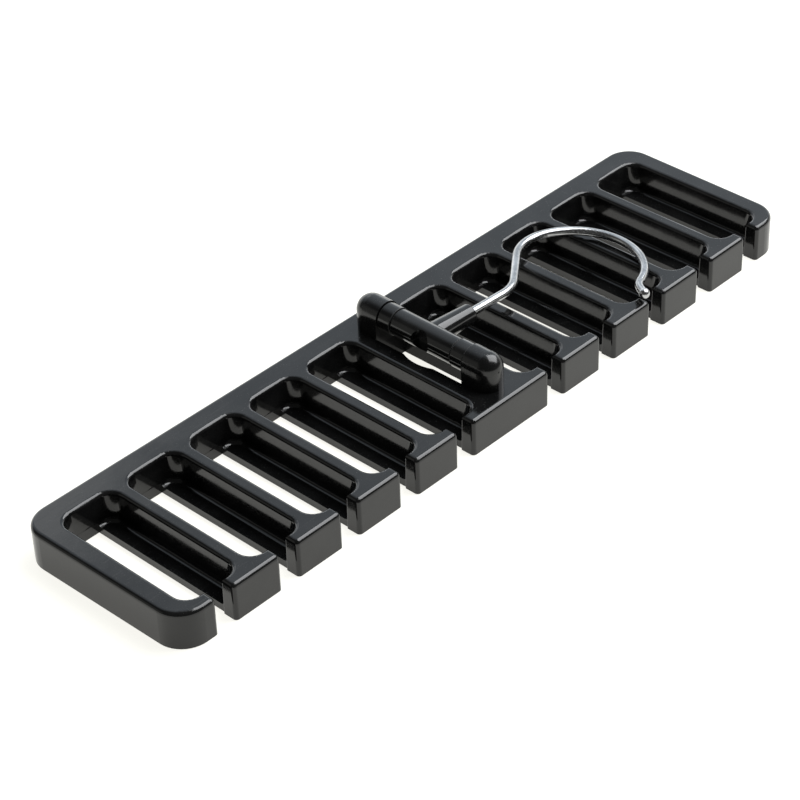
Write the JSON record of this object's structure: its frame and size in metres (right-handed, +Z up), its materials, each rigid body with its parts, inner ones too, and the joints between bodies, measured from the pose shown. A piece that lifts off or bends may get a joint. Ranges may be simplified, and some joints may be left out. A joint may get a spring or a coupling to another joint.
{
  "type": "folding tie hanger",
  "caption": "Flat comb-shaped rack with open-fronted slots for ties and a chromed wire hook that folds down onto it on a central hinge.",
  "frame": {"origin": "middle of the rack's underside", "axes": "+X along the rack towards the folded hook's crown, +Y from the open slot mouths to the spine, +Z up out of the rack's top"},
  "size_m": [0.3334, 0.0826, 0.0295],
  "materials": {
    "rack_plastic": "moulded gloss black",
    "carrier_plastic": "moulded gloss black",
    "collar_plastic": "moulded gloss black",
    "pin_steel": "drawn steel",
    "hook_chrome": "polished chrome plate"
  },
  "bodies": {
    "rack": {"rack_frame": "rack_plastic", "hinge_pin": "pin_steel", "front_collar": "collar_plastic", "rear_collar": "collar_plastic"},
    "folding_hook": {"hook_carrier": "carrier_plastic", "hook": "hook_chrome"}
  },
  "joints": [
    {"name": "hook_fold", "type": "hinge", "parent": "rack", "child": "folding_hook", "pos_m": [0, 0, 0.0233], "axis": [0, -1, 0], "range_deg": [0, 185]}
  ]
}
